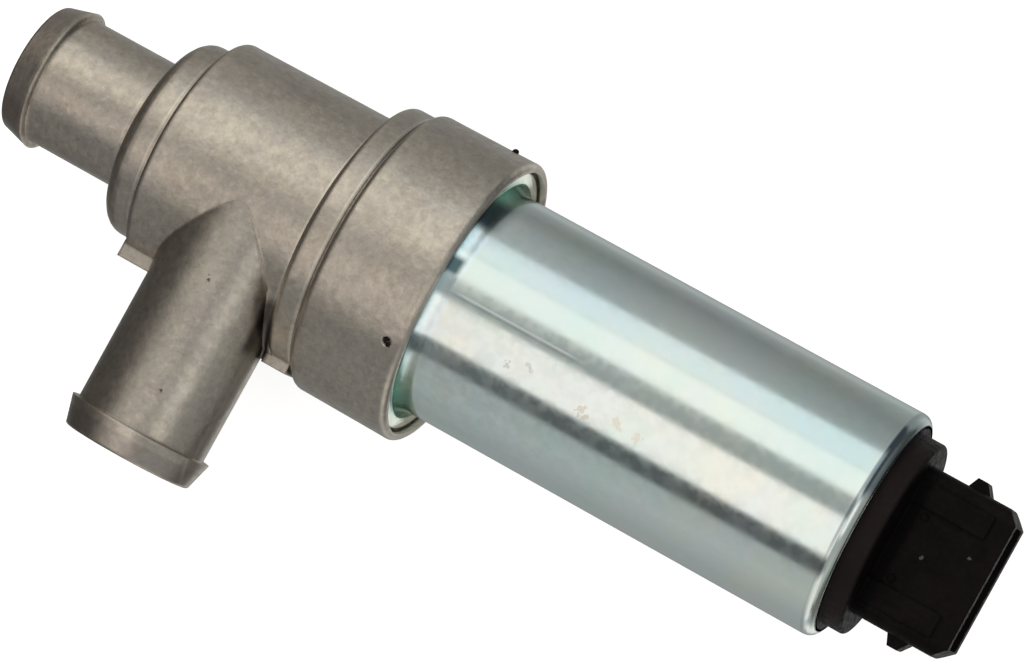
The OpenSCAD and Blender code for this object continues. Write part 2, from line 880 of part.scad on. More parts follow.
module connector_cap() {
    seal_x = shoulder_x - seal_t - seal_groove_w / 2;
    root_r = can_bore_r - seal_t - 2 * fixed_gap;
    hollow_r = root_r - header_wall;
    dimple_y = key_offset - key_w / 2 - dimple_d;
    color("dimgray")
    difference() {
        union() {
            turned(concat(
                [[0, cap_rim_x],
                 [plug_r, cap_rim_x],
                 [plug_r, seal_x - seal_groove_w / 2],
                 [root_r, seal_x - seal_groove_w / 2],
                 [root_r, seal_x + seal_groove_w / 2],
                 [plug_r, seal_x + seal_groove_w / 2],
                 [plug_r, shoulder_x - fixed_gap],
                 [lip_bore_r - fixed_gap, shoulder_x - fixed_gap],
                 [lip_bore_r - fixed_gap, can_end_x],
                 [disc_r, can_end_x]],
                arc(disc_r - disc_round, disc_x - disc_round, disc_round, 0, 90),
                [[0, disc_x]]
            ));
            header_body();
            for (side = [-1, 1]) {
                latch_lug(side);
                key_rib(side);
            }
        }
        bar(hollow_r, cap_rim_x - overrun, cap_floor_x);
        along_x(socket_x, header_x + overrun)
            round_rect(header_w - 2 * header_wall, header_h - 2 * header_wall, header_round / 2);
        for (side = [-1, 1]) {
            terminal(side, fixed_gap);
            translate([disc_x + dimple_from_disc, side * dimple_y, header_h / 2 - dimple_d / 4])
                cylinder(d = dimple_d, h = dimple_d, $fn = small_fn);
        }
    }
}

module cap_seal() {
    color("black")
        seal_ring(can_bore_r, shoulder_x - seal_t - seal_groove_w / 2);
}

valve_housing();
valve_seat();
valve_head();
retaining_clip();
valve_rod();
front_bush();
pole_plate();
housing_seal();
solenoid_can();
guide_tube();
armature();
stop_washer();
pole_core();
rear_bush();
spring_seat();
return_spring();
adjusting_screw();
wave_washer();
coil_bobbin();
coil_winding();
flux_washer();
connector_cap();
cap_seal();
terminal_left();
terminal_right();
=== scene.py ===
"""Idle air control valve: finishes, small cast and moulded details, studio and camera."""

import json
import math
import random

import bmesh
import bpy
from mathutils import Matrix, Vector


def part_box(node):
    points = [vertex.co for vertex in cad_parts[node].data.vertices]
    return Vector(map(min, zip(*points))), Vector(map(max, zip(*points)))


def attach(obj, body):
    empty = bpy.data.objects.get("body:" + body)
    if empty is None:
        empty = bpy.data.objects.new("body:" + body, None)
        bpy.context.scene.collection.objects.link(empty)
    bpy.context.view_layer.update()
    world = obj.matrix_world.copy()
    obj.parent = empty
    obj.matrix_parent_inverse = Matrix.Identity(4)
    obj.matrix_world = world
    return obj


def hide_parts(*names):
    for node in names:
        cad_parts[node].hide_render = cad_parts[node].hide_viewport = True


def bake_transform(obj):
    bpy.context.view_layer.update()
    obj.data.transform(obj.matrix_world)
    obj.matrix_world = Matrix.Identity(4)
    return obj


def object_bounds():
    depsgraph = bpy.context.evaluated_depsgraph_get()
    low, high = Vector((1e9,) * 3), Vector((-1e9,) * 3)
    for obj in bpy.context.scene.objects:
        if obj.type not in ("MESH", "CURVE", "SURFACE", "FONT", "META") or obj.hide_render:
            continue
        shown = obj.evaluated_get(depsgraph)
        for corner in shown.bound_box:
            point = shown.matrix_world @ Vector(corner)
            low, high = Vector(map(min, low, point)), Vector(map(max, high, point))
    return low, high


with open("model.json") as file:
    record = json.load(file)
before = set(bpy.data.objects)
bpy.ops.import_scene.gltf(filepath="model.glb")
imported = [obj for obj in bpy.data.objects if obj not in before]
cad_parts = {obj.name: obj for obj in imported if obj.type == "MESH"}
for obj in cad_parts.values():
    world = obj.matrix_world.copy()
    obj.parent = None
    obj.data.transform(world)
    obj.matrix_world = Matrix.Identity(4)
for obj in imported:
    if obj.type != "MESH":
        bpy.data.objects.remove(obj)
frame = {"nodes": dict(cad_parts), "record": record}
cad_low, cad_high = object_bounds()

# The photograph's frame and view
IMAGE_W = 1024
FOCAL_PIXELS = 4935
SENSOR_MM = 36
CAMERA_TILT = math.radians(13.4)
IMAGE_ROLL = math.radians(28.95)
CAMERA_AIM = Vector((-0.0262, -0.0005, 0.0))
CAMERA_DISTANCE = 0.70

MM = 0.001

# The floor, and the samples of the nodes that look for edges and hollows
FLOOR_SIZE = 6.0
FLOOR_GLOW = 0.74
EDGE_SAMPLES = 4

# Places and radii of the part that the finishes and the fillets follow
FLANGE_FACE = -35.0 * MM
CAN_END = 32.7 * MM
CAN_R = 17.5 * MM
DISC_FACE = 36.05 * MM
CHAMBER_R = 17.9 * MM
CHAMBER_X = -80.7 * MM
NECK_X = -86.5 * MM
NECK_R = 15.35 * MM
STEP_X = -54.4 * MM
STEP_R = 21.1 * MM
LEDGE_Y = 0.1 * MM
NOZZLE_R = 10.0 * MM
SIDE_X = -65.0 * MM
SIDE_LIFT = 7.7 * MM
SIDE_LIP_Y = -39.4 * MM
INLINE_LIP_X = -103.9 * MM


# Shader helpers


def new_material(name):
    """An empty material and its node tree, with a Principled shader on its output."""
    material = bpy.data.materials.new(name)
    material.use_nodes = True
    tree = material.node_tree
    tree.nodes.clear()
    output = tree.nodes.new("ShaderNodeOutputMaterial")
    shader = tree.nodes.new("ShaderNodeBsdfPrincipled")
    link(tree, shader.outputs["BSDF"], output.inputs["Surface"])
    return material, tree, shader


def new_group(name, inputs, outputs):
    """A shader node group with named float, colour or vector sockets."""
    group = bpy.data.node_groups.new(name, "ShaderNodeTree")
    for label, kind, value in inputs:
        socket = group.interface.new_socket(label, in_out="INPUT", socket_type=kind)
        if value is not None:
            socket.default_value = value
    for label, kind in outputs:
        group.interface.new_socket(label, in_out="OUTPUT", socket_type=kind)
    entry = group.nodes.new("NodeGroupInput")
    end = group.nodes.new("NodeGroupOutput")
    return group, entry, end


def place(tree, kind, **values):
    """A node of that kind whose named sockets or settings take the values."""
    node = tree.nodes.new(kind)
    for key, value in values.items():
        if key in node.inputs:
            node.inputs[key].default_value = value
        else:
            setattr(node, key, value)
    return node


def place_group(tree, group, **values):
    """A placed node group, with its named inputs set."""
    node = tree.nodes.new("ShaderNodeGroup")
    node.node_tree = group
    for key, value in values.items():
        node.inputs[key].default_value = value
    return node


def link(tree, source, target):
    """A link from one socket to another."""
    tree.links.new(source, target)


def feed(tree, value, slot):
    """The slot takes a socket's value or a plain one."""
    if isinstance(value, bpy.types.NodeSocket):
        link(tree, value, slot)
    else:
        slot.default_value = value


def mix_colours(tree, share, first, second):
    """A colour mix whose share is a socket or a number; first and second are sockets or colours."""
    node = place(tree, "ShaderNodeMix", data_type="RGBA")
    for value, slot in ((share, 0), (first, 6), (second, 7)):
        feed(tree, value, node.inputs[slot])
    return node.outputs[2]


def ramp(tree, source, low, high, start=0.0, end=1.0):
    """A number between low and high as source goes from start to end."""
    node = place(tree, "ShaderNodeMapRange", interpolation_type="SMOOTHSTEP")
    for key, value in (("From Min", start), ("From Max", end), ("To Min", low), ("To Max", high)):
        node.inputs[key].default_value = value
    link(tree, source, node.inputs["Value"])
    return node.outputs["Result"]


def maths(tree, operation, *values):
    """The result of an operation on sockets or numbers."""
    node = place(tree, "ShaderNodeMath", operation=operation)
    for slot, value in zip(node.inputs, values):
        feed(tree, value, slot)
    return node.outputs[0]


def vector_maths(tree, operation, *vectors):
    """The node of an operation on vectors, each a socket."""
    node = place(tree, "ShaderNodeVectorMath", operation=operation)
    for slot, vector in zip(node.inputs, vectors):
        link(tree, vector, slot)
    return node


def product(tree, first, second):
    """Two values multiplied; the second may be a plain number."""
    return maths(tree, "MULTIPLY", first, second)


def tinted(tree, tone, mask, colour, share=1.0):
    """The tone with a colour laid over it where the mask is, at that share of the mask."""
    if share != 1.0:
        mask = product(tree, mask, share)
    return mix_colours(tree, mask, tone, (*colour, 1))


def window(tree, source, start, end, soft):
    """1 where the source lies between start and end, with soft ends."""
    rising = ramp(tree, source, 0.0, 1.0, start - soft, start + soft)
    falling = ramp(tree, source, 1.0, 0.0, end - soft, end + soft)
    return product(tree, rising, falling)


def noise(tree, where, scale, detail=2.0, roughness=0.5):
    """Cloud noise over the object, as a socket."""
    node = place(tree, "ShaderNodeTexNoise", Scale=scale, Detail=detail, Roughness=roughness)
    link(tree, where, node.inputs["Vector"])
    return node.outputs["Fac"]


def blotch_group():
    """Soft patches over the surface: a mask of large and small clouds."""
    group, entry, end = new_group(
        "soft_blotches",
        [("Vector", "NodeSocketVector", None), ("Scale", "NodeSocketFloat", 120.0)],
        [("Mask", "NodeSocketFloat"), ("Fine", "NodeSocketFloat")],
    )
    where, scale = entry.outputs["Vector"], entry.outputs["Scale"]
    large = place(group, "ShaderNodeTexNoise", Detail=3.0, Roughness=0.55)
    link(group, where, large.inputs["Vector"])
    link(group, scale, large.inputs["Scale"])
    link(group, ramp(group, large.outputs["Fac"], 0.0, 1.0, 0.34, 0.66), end.inputs["Mask"])
    small = place(group, "ShaderNodeTexNoise", Detail=4.0, Roughness=0.6)
    link(group, where, small.inputs["Vector"])
    link(group, product(group, scale, 6.0), small.inputs["Scale"])
    link(group, ramp(group, small.outputs["Fac"], 0.0, 1.0, 0.32, 0.68), end.inputs["Fine"])
    return group


BLOTCHES = blotch_group()


def mark_group():
    """A small ragged mark round a place on the surface."""
    group, entry, end = new_group(
        "small_mark",
        [
            ("Vector", "NodeSocketVector", None),
            ("Place", "NodeSocketVector", None),
            ("Radius", "NodeSocketFloat", 0.5 * MM),
        ],
        [("Mask", "NodeSocketFloat")],
    )
    where = entry.outputs["Vector"]
    away = vector_maths(group, "DISTANCE", where, entry.outputs["Place"]).outputs["Value"]
    share = maths(group, "DIVIDE", away, entry.outputs["Radius"])
    ragged = ramp(group, noise(group, where, 1500.0), -0.7, 0.7, 0.3, 0.7)
    uneven = maths(group, "ADD", share, ragged)
    link(group, ramp(group, uneven, 1.0, 0.0, 0.55, 1.0), end.inputs["Mask"])
    return group


MARK = mark_group()


def marked(tree, where, tone, place_mm, radius_mm, colour, share):
    """The tone with one small mark on it."""
    spot = place_group(tree, MARK, Place=[v * MM for v in place_mm], Radius=radius_mm * MM)
    link(tree, where, spot.inputs["Vector"])
    return tinted(tree, tone, spot.outputs["Mask"], colour, share)


def blotches(tree, where, scale):
    """Soft patches of that scale, as two masks: large clouds and fine ones."""
    node = place_group(tree, BLOTCHES, Scale=scale)
    link(tree, where, node.inputs["Vector"])
    return node.outputs["Mask"], node.outputs["Fine"]


def object_place(tree):
    """The place on the object in metres, the same in every view."""
    return tree.nodes.new("ShaderNodeTexCoord").outputs["Object"]


def split(tree, vector):
    """The three parts of a vector, as sockets."""
    axes = tree.nodes.new("ShaderNodeSeparateXYZ")
    link(tree, vector, axes.inputs[0])
    return axes.outputs["X"], axes.outputs["Y"], axes.outputs["Z"]


def bumped(tree, height, strength, distance, normal=None):
    """The normal with bumps from a height, laid on another normal if one is given."""
    node = place(tree, "ShaderNodeBump", Strength=strength, Distance=distance)
    link(tree, height, node.inputs["Height"])
    if normal is not None:
        link(tree, normal, node.inputs["Normal"])
    return node.outputs["Normal"]


def rounded(tree, radius):
    """A bevel node that rounds the normal over edges."""
    node = tree.nodes.new("ShaderNodeBevel")
    node.samples = EDGE_SAMPLES
    feed(tree, radius, node.inputs["Radius"])
    return node.outputs["Normal"]


# Finishes


def wear_sheen_shade_group():
    """Masks of the edges and creases of a piece, and its normal with small roundings: the edge mask
    serves wear and a painted highlight, the crease mask painted shade.
    """
    group, entry, end = new_group(
        "edge_wear_sheen_and_crease_shade",
        [("Radius", "NodeSocketFloat", 0.6 * MM), ("Reach", "NodeSocketFloat", 1.5 * MM)],
        [("Edge", "NodeSocketFloat"), ("Crease", "NodeSocketFloat"), ("Normal", "NodeSocketVector")],
    )
    # Edge: where the rounded normal leaves the flat one, the mask for wear and a painted highlight
    soft = rounded(group, entry.outputs["Radius"])
    flat = group.nodes.new("ShaderNodeNewGeometry").outputs["Normal"]
    near = vector_maths(group, "DOT_PRODUCT", soft, flat).outputs["Value"]
    link(group, ramp(group, near, 1.0, 0.0, 0.93, 0.999), end.inputs["Edge"])
    # Crease: where ambient occlusion finds a hollow, the mask for painted shade
    hollow = group.nodes.new("ShaderNodeAmbientOcclusion")
    hollow.samples = EDGE_SAMPLES
    link(group, entry.outputs["Reach"], hollow.inputs["Distance"])
    link(group, ramp(group, hollow.outputs["AO"], 1.0, 0.0, 0.45, 0.8), end.inputs["Crease"])
    link(group, soft, end.inputs["Normal"])
    return group


WEAR_SHEEN_SHADE = wear_sheen_shade_group()


# Pits in the casting that the photograph shows: place and radius in millimetres
CAST_PITS = [
    ((-63.96, -14.43, 17.65), 0.45),
    ((-62.34, -31.3, 17.34), 0.35),
    ((-80.42, -8.15, 12.95), 0.4),
]
# Painted highlights: pale strips beside the casting's creases, on its upper side: start and end along
# the main axis, in millimetres
CAST_HIGHLIGHT_LINES = [(-88.3, -88.0), (-81.95, -81.65), (-55.5, -55.2), (-50.95, -50.7)]
# Stains on the can: place and radius in millimetres, colour, strength
CAN_STAINS = [
    ((-8.2, -5.5, 16.6), 0.9, (0.62, 0.55, 0.42), 0.6),
    ((-20.7, -4.6, 16.9), 0.5, (0.42, 0.43, 0.42), 0.45),
    ((-18.0, -3.4, 17.2), 0.45, (0.45, 0.46, 0.45), 0.4),
    ((-17.2, -3.8, 17.1), 0.4, (0.50, 0.50, 0.48), 0.4),
    ((-2.9, -4.3, 17.0), 0.8, (0.74, 0.66, 0.55), 0.5),
    ((0.5, -5.0, 16.8), 0.7, (0.74, 0.66, 0.55), 0.5),
]
# Specks of dust on the plug header: place and radius in millimetres
DUST = [((41.2, -0.15, 5.5), 0.35), ((46.95, 2.9, 5.5), 0.3)]


def cast_aluminium(name, edge_wear_sheen_and_crease_shade=True):
    """Bead-blasted aluminium casting: warm grey, soft patches, a fine sandy grain."""
    material, tree, shader = new_material(name)
    where = object_place(tree)
    along, across, up = split(tree, where)
    flush, flush_fine = blotches(tree, where, 62.0)
    patches, patches_fine = blotches(tree, where, 110.0)
    mottle, mottle_fine = blotches(tree, where, 260.0)
    grain = noise(tree, where, 900.0, 5.0, 0.75)
    tone = mix_colours(tree, patches, (0.50, 0.44, 0.37, 1), (0.60, 0.54, 0.46, 1))
    tone = tinted(tree, tone, flush, (0.53, 0.455, 0.415), 0.45)
    tone = tinted(tree, tone, flush_fine, (0.68, 0.63, 0.50), 0.45)
    tone = tinted(tree, tone, patches_fine, (0.45, 0.395, 0.355), 0.3)
    tone = tinted(tree, tone, mottle, (0.50, 0.45, 0.42), 0.4)
    tone = tinted(tree, tone, mottle_fine, (0.66, 0.60, 0.49), 0.25)
    tone = tinted(tree, tone, ramp(tree, grain, 0.0, 0.5, 0.48, 0.72), (0.36, 0.31, 0.27))
    tone = tinted(tree, tone, ramp(tree, grain, 0.5, 0.0, 0.28, 0.5), (0.80, 0.73, 0.61))

    # The two hose lips are painted darker, as shade; the edges are worn pale and carry a painted
    # highlight, with painted shade in the creases beside them
    lip_soft = 0.3 * MM
    inline_lip = ramp(tree, along, 0.55, 0.0, INLINE_LIP_X - lip_soft, INLINE_LIP_X + lip_soft)
    tone = tinted(tree, tone, inline_lip, (0.36, 0.31, 0.28))
    side_lip = ramp(tree, across, 0.45, 0.0, SIDE_LIP_Y - lip_soft, SIDE_LIP_Y + lip_soft)
    tone = tinted(tree, tone, side_lip, (0.36, 0.31, 0.28))
    if edge_wear_sheen_and_crease_shade:
        wear_sheen_shade = place_group(tree, WEAR_SHEEN_SHADE, Radius=0.6 * MM, Reach=1.2 * MM)
        # Wear and a painted highlight on the edges
        tone = tinted(tree, tone, wear_sheen_shade.outputs["Edge"], (0.80, 0.73, 0.62), 0.4)
        # Painted shade in the creases, from ambient occlusion
        tone = tinted(tree, tone, wear_sheen_shade.outputs["Crease"], (0.16, 0.13, 0.11), 0.5)
    else:
        # The fillets get no edge or crease masks; their whole tone is painted darker instead, as shade
        # that dims their highlight
        tone = tinted(tree, tone, 0.45, (0.33, 0.29, 0.255))
    # Painted highlight lines beside the creases, on the upper side only
    on_top = ramp(tree, up, 0.0, 0.5, 6.0 * MM, 13.0 * MM)
    for start, end in CAST_HIGHLIGHT_LINES:
        highlight_strip = window(tree, along, start * MM, end * MM, 0.12 * MM)
        tone = tinted(tree, tone, product(tree, highlight_strip, on_top), (0.82, 0.76, 0.64))

    # Painted shade in the slot between the side nozzle and the step
    by_step = window(tree, along, STEP_X - 2.0 * MM, STEP_X + 0.45 * MM, 0.45 * MM)
    beside = window(tree, across, -21.4 * MM, -12.5 * MM, 1.2 * MM)
    above = ramp(tree, up, 0.0, 0.85, 1.0 * MM, 4.0 * MM)
    slot = product(tree, product(tree, by_step, beside), above)
    tone = tinted(tree, tone, slot, (0.055, 0.045, 0.04))
    for place_mm, radius_mm in CAST_PITS:
        tone = marked(tree, where, tone, place_mm, radius_mm, (0.10, 0.08, 0.065), 0.85)
    link(tree, tone, shader.inputs["Base Color"])
    shader.inputs["Metallic"].default_value = 1.0
    link(tree, ramp(tree, patches_fine, 0.31, 0.38), shader.inputs["Roughness"])
    base = wear_sheen_shade.outputs["Normal"] if edge_wear_sheen_and_crease_shade else None
    uneven = bumped(tree, noise(tree, where, 450.0, 3.0), 0.5, 0.13 * MM, base)
    link(tree, bumped(tree, grain, 0.35, 0.04 * MM, uneven), shader.inputs["Normal"])
    return material


def wall_normal(tree, where, along):
    """The can's normal, which leans out in the bend before the flange.

    It leans only so far that the bend mirrors past the collar's rim.
    """
    _, across, up = split(tree, where)
    out = tree.nodes.new("ShaderNodeCombineXYZ")
    link(tree, across, out.inputs["Y"])
    link(tree, up, out.inputs["Z"])
    reach = vector_maths(tree, "LENGTH", out.outputs[0]).outputs["Value"]
    radial = vector_maths(tree, "NORMALIZE", out.outputs[0]).outputs["Vector"]
    lean = tree.nodes.new("ShaderNodeCombineXYZ")
    slope = ramp(tree, along, 0.26, 0.0, FLANGE_FACE + 0.2 * MM, FLANGE_FACE + 2.5 * MM)
    link(tree, slope, lean.inputs["X"])
    leaning = vector_maths(tree, "ADD", radial, lean.outputs[0]).outputs["Vector"]
    outside = ramp(tree, reach, 0.0, 0.96, CAN_R - 0.3 * MM, CAN_R - 0.05 * MM)
    bend = window(tree, along, FLANGE_FACE + 0.15 * MM, FLANGE_FACE + 2.6 * MM, 0.1 * MM)
    blend = place(tree, "ShaderNodeMix", data_type="VECTOR")
    link(tree, product(tree, outside, bend), blend.inputs[0])
    link(tree, rounded(tree, 0.3 * MM), blend.inputs[4])
    link(tree, leaning, blend.inputs[5])
    return vector_maths(tree, "NORMALIZE", blend.outputs[1]).outputs["Vector"]


def zinc_plate():
    """Bright zinc plating under a clear passivated film, with cream, blue and green clouds in it."""
    material, tree, shader = new_material("zinc_plate")
    where = object_place(tree)
    along, across, up = split(tree, where)
    sideways = maths(tree, "ABSOLUTE", across)
    clouds, _ = blotches(tree, where, 52.0)
    smoke, smoke_fine = blotches(tree, where, 95.0)
    blush, blush_fine = blotches(tree, where, 170.0)
    film = mix_colours(tree, clouds, (0.74, 0.87, 0.82, 1), (0.88, 0.895, 0.79, 1))
    film = tinted(tree, film, smoke, (0.74, 0.86, 0.92), 0.55)
    film = tinted(tree, film, blush, (0.90, 0.85, 0.84), 0.25)
    film = tinted(tree, film, blush_fine, (0.72, 0.84, 0.76), 0.18)

    # The end at the flange: painted reflections in blue and teal, painted dark reflections in two
    # places, painted shade in the corner, and a pale face
    wall_end = ramp(tree, along, 1.0, 0.0, FLANGE_FACE + 1.2 * MM, FLANGE_FACE + 4.4 * MM)
    # Painted reflection: teal on the sides, where the wall mirrors darker surroundings
    teal_reflection_sides = ramp(tree, sideways, 0.0, 0.8, 13.5 * MM, 16.3 * MM)
    film = tinted(tree, film, product(tree, wall_end, teal_reflection_sides), (0.42, 0.76, 0.72))
    # Painted reflection: the bright bands run on in pale blue towards the flange
    band_reflection_end = window(tree, along, FLANGE_FACE + 0.7 * MM, FLANGE_FACE + 2.8 * MM, 0.5 * MM)
    between = window(tree, across, -8.4 * MM, 9.8 * MM, 0.5 * MM)
    film = tinted(tree, film, product(tree, band_reflection_end, between), (0.84, 0.96, 0.98), 0.75)
    # Painted reflection in the bend: pale blue on top, teal on the sides
    bend = ramp(tree, along, 0.7, 0.0, FLANGE_FACE + 0.6 * MM, FLANGE_FACE + 1.3 * MM)
    to_side = ramp(tree, sideways, 0.0, 1.0, 9.0 * MM, 14.0 * MM)
    bend_reflection_tone = mix_colours(tree, to_side, (0.66, 0.90, 0.92, 1), (0.42, 0.80, 0.73, 1))
    film = mix_colours(tree, bend, film, bend_reflection_tone)
    # Painted reflection: a dark slate band over the wall's end on one side
    slate_reflection = window(tree, across, 10.4 * MM, 14.8 * MM, 0.9 * MM)
    film = tinted(tree, film, product(tree, wall_end, slate_reflection), (0.13, 0.19, 0.22), 0.9)
    # Painted reflection: the dark gap between the bright bands, carried on into the bend
    patch_along = window(tree, along, FLANGE_FACE + 0.1 * MM, FLANGE_FACE + 2.0 * MM, 0.5 * MM)
    patch_across = window(tree, across, 2.6 * MM, 5.2 * MM, 0.6 * MM)
    gap_reflection = product(tree, patch_along, patch_across)
    film = tinted(tree, film, gap_reflection, (0.03, 0.075, 0.085), 0.92)
    # Painted shade: a dark line in the corner at the flange, weaker on the sides
    corner_shade = ramp(tree, along, 0.85, 0.0, FLANGE_FACE + 0.2 * MM, FLANGE_FACE + 0.5 * MM)
    inner = ramp(tree, sideways, 1.0, 0.25, 11.0 * MM, 15.0 * MM)
    film = tinted(tree, film, product(tree, corner_shade, inner), (0.03, 0.06, 0.07))
    face = ramp(tree, along, 1.0, 0.0, FLANGE_FACE + 0.02 * MM, FLANGE_FACE + 0.15 * MM)
    film = tinted(tree, film, face, (0.86, 0.93, 0.80))

    # The rolled end: a painted shade line where the roll starts, and a painted dark reflection over
    # its far side
    # Painted shade where the roll starts, stronger towards +Y
    roll_start_shade = window(tree, along, CAN_END - 1.75 * MM, CAN_END - 1.35 * MM, 0.12 * MM)
    near_side = ramp(tree, across, 0.25, 0.8, -9.0 * MM, -3.0 * MM)
    film = tinted(tree, film, product(tree, roll_start_shade, near_side), (0.34, 0.38, 0.40))
    # Painted dark reflection over the roll on the +Y side
    roll = ramp(tree, along, 0.0, 0.85, CAN_END - 1.75 * MM, CAN_END - 1.3 * MM)
    far_side = ramp(tree, across, 0.0, 1.0, 2.5 * MM, 5.0 * MM)
    film = tinted(tree, film, product(tree, roll, far_side), (0.20, 0.245, 0.27))

    # A long scratch on the top and a few stains
    on_top = ramp(tree, up, 0.0, 1.0, 0.0, 5.0 * MM)
    length = product(tree, on_top, window(tree, along, -32.0 * MM, -12.0 * MM, 2.0 * MM))
    bright = product(tree, length, window(tree, across, 0.5 * MM, 0.85 * MM, 0.14 * MM))
    film = tinted(tree, film, bright, (1.0, 1.0, 1.0), 0.7)
    dark = product(tree, length, window(tree, across, 0.12 * MM, 0.36 * MM, 0.1 * MM))
    film = tinted(tree, film, dark, (0.42, 0.48, 0.46), 0.4)
    for place_mm, radius_mm, colour, share in CAN_STAINS:
        film = marked(tree, where, film, place_mm, radius_mm, colour, share)
    link(tree, film, shader.inputs["Base Color"])
    shader.inputs["Metallic"].default_value = 1.0
    dullness = maths(tree, "MAXIMUM", ramp(tree, smoke_fine, 0.12, 0.18), product(tree, bright, 0.25))
    link(tree, dullness, shader.inputs["Roughness"])

    # Fine streaks round the can, from drawing
    stretch = place(tree, "ShaderNodeMapping", Scale=(1.0, 0.08, 0.08))
    link(tree, where, stretch.inputs["Vector"])
    streaks = noise(tree, stretch.outputs["Vector"], 900.0)
    normal = bumped(tree, streaks, 0.05, 0.03 * MM, wall_normal(tree, where, along))
    link(tree, normal, shader.inputs["Normal"])
    return material


def black_plastic():
    """Matte glass-filled moulding with a brown cast, greyer on the disc, with a little dust and a
    painted shadow at the root of the header.
    """
    material, tree, shader = new_material("black_plastic")
    where = object_place(tree)
    along, _, _ = split(tree, where)
    patches, fine = blotches(tree, where, 220.0)
    tone = mix_colours(tree, patches, (0.0055, 0.0032, 0.0032, 1), (0.0095, 0.006, 0.006, 1))
    disc = ramp(tree, along, 0.8, 0.0, DISC_FACE - 0.5 * MM, DISC_FACE + 0.1 * MM)
    tone = tinted(tree, tone, disc, (0.024, 0.017, 0.0165))
    # Painted shadow of the disc on the root of the header
    shade = window(tree, along, DISC_FACE - 0.1 * MM, DISC_FACE + 2.0 * MM, 0.6 * MM)
    tone = tinted(tree, tone, shade, (0.001, 0.0008, 0.0008), 0.85)
    for place_mm, radius_mm in DUST:
        tone = marked(tree, where, tone, place_mm, radius_mm, (0.16, 0.15, 0.14), 0.7)
    link(tree, tone, shader.inputs["Base Color"])
    link(tree, ramp(tree, fine, 0.42, 0.62), shader.inputs["Roughness"])
    shader.inputs["Specular IOR Level"].default_value = 0.08
    grain = noise(tree, where, 1800.0)
    normal = bumped(tree, grain, 0.25, 0.05 * MM, rounded(tree, 0.4 * MM))
    link(tree, normal, shader.inputs["Normal"])
    return material


def dried_dirt():
    """A grey-brown tone for a gap of the casting, painted as the gap's shade."""
    material, tree, shader = new_material("dried_dirt")
    where = object_place(tree)
    patches, fine = blotches(tree, where, 420.0)
    tone = mix_colours(tree, patches, (0.10, 0.083, 0.068, 1), (0.30, 0.26, 0.21, 1))
    tone = tinted(tree, tone, fine, (0.14, 0.12, 0.10), 0.5)
    link(tree, tone, shader.inputs["Base Color"])
    link(tree, ramp(tree, fine, 0.75, 0.95), shader.inputs["Roughness"])
    shader.inputs["Specular IOR Level"].default_value = 0.15
    grain = noise(tree, where, 2600.0, 3.0)
    link(tree, bumped(tree, grain, 0.6, 0.15 * MM), shader.inputs["Normal"])
    return material


def two_toned(name, scale, tones, roughness=None):
    """A material in soft patches of two tones, with a roughness range if one is given."""
    material, tree, shader = new_material(name)
    where = object_place(tree)
    patches, fine = blotches(tree, where, scale)
    link(tree, mix_colours(tree, patches, *tones), shader.inputs["Base Color"])
    if roughness:
        link(tree, ramp(tree, fine, *roughness), shader.inputs["Roughness"])
    return material, tree, shader, where


def ringed(tree, shader, where, rings, distortion, strength, distance):
    """Fine rings round the main axis, as bump."""
    waves = place(tree, "ShaderNodeTexWave", bands_direction="X", Scale=rings, Distortion=distortion)
    link(tree, where, waves.inputs["Vector"])
    normal = bumped(tree, waves.outputs["Fac"], strength, distance)
    link(tree, normal, shader.inputs["Normal"])


def turned_metal(name, tone, shade, roughness):
    """Turned or drawn metal: fine rings round the main axis and a little tarnish."""
    tones = ((*tone, 1), (*shade, 1))
    material, tree, shader, where = two_toned(name, 250.0, tones, (roughness, roughness + 0.12))
    shader.inputs["Metallic"].default_value = 1.0
    ringed(tree, shader, where, 2500.0, 0.4, 0.1, 0.01 * MM)
    return material


def seal_rubber():
    """Black sealing rubber with a faint bloom."""
    tones = ((0.015, 0.015, 0.015, 1), (0.03, 0.03, 0.03, 1))
    return two_toned("seal_rubber", 300.0, tones, (0.6, 0.75))[0]


def bobbin_plastic():
    """Pale glass-filled moulding of the coil's bobbin."""
    tones = ((0.66, 0.61, 0.5, 1), (0.72, 0.68, 0.58, 1))
    return two_toned("bobbin_plastic", 260.0, tones, (0.4, 0.55))[0]


def copper_wire():
    """Enamelled wire, wound in close turns round the main axis."""
    tones = ((0.55, 0.2, 0.08, 1), (0.7, 0.3, 0.14, 1))
    material, tree, shader, where = two_toned("copper_wire", 260.0, tones)
    shader.inputs["Metallic"].default_value = 0.9
    shader.inputs["Roughness"].default_value = 0.3
    ringed(tree, shader, where, 900.0, 0.0, 0.8, 0.1 * MM)
    return material


FINISHES = {
    "cast_aluminium": cast_aluminium("cast_aluminium"),
    "cast_fillet": cast_aluminium("cast_fillet", edge_wear_sheen_and_crease_shade=False),
    "dried_dirt": dried_dirt(),
    "turned_aluminium": turned_metal("turned_aluminium", (0.78, 0.78, 0.79), (0.7, 0.7, 0.71), 0.25),
    "zinc_plate": zinc_plate(),
    "bare_steel": turned_metal("bare_steel", (0.62, 0.62, 0.63), (0.54, 0.54, 0.55), 0.18),
    "spring_steel": turned_metal("spring_steel", (0.4, 0.4, 0.42), (0.3, 0.3, 0.31), 0.3),
    "soft_iron": turned_metal("soft_iron", (0.52, 0.53, 0.53), (0.46, 0.46, 0.45), 0.3),
    "brass": turned_metal("brass", (0.8, 0.62, 0.3), (0.7, 0.5, 0.22), 0.24),
    "bronze": turned_metal("bronze", (0.55, 0.36, 0.2), (0.42, 0.27, 0.15), 0.45),
    "tinned_brass": turned_metal("tinned_brass", (0.74, 0.73, 0.7), (0.66, 0.65, 0.62), 0.28),
    "copper_wire": copper_wire(),
    "bobbin_plastic": bobbin_plastic(),
    "black_plastic": black_plastic(),
    "seal_rubber": seal_rubber(),
}


